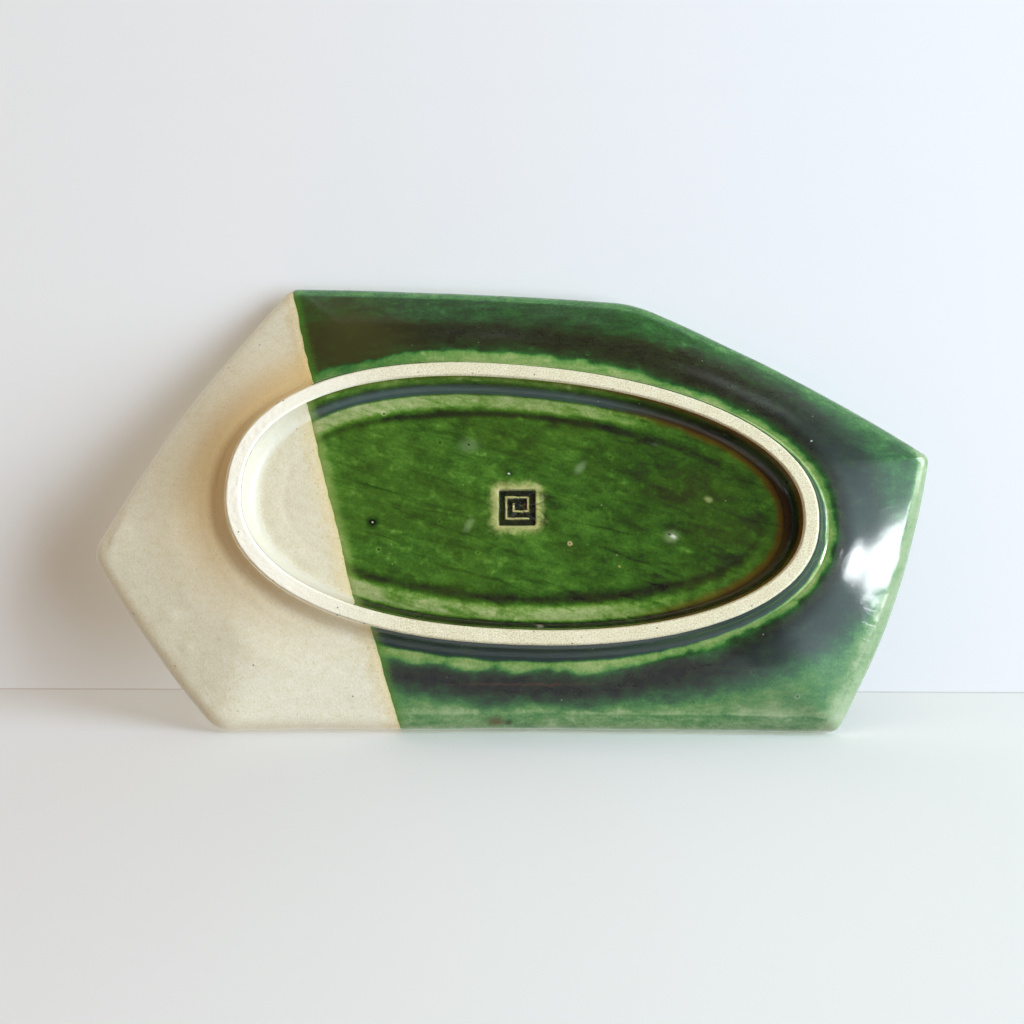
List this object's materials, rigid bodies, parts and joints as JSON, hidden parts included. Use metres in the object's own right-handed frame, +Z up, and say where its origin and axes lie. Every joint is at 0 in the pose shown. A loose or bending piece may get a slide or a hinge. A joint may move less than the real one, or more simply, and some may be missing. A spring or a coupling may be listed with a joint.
{
  "type": "hexagonal plate",
  "caption": "Irregular six-sided stoneware plate with sloping walls on an oval foot ring, dipped in green and clear glaze.",
  "frame": {"origin": "on the plane the foot stands on, under the middle of the rim's bounding box", "axes": "+X along the length towards the clear-glazed end, +Y across towards the bowed short-topped side, +Z up out of the face"},
  "size_m": [0.25, 0.1382, 0.02],
  "materials": {
    "bare_clay": "matte",
    "clear_glaze": "satin",
    "green_glaze": "gloss"
  },
  "bodies": {
    "root": {"plate_body": "bare_clay", "foot_ring": "bare_clay", "clear_glaze_outer": "clear_glaze", "green_glaze_outer": "green_glaze", "clear_glaze_in_foot": "clear_glaze", "green_glaze_in_foot": "green_glaze"}
  },
  "joints": []
}
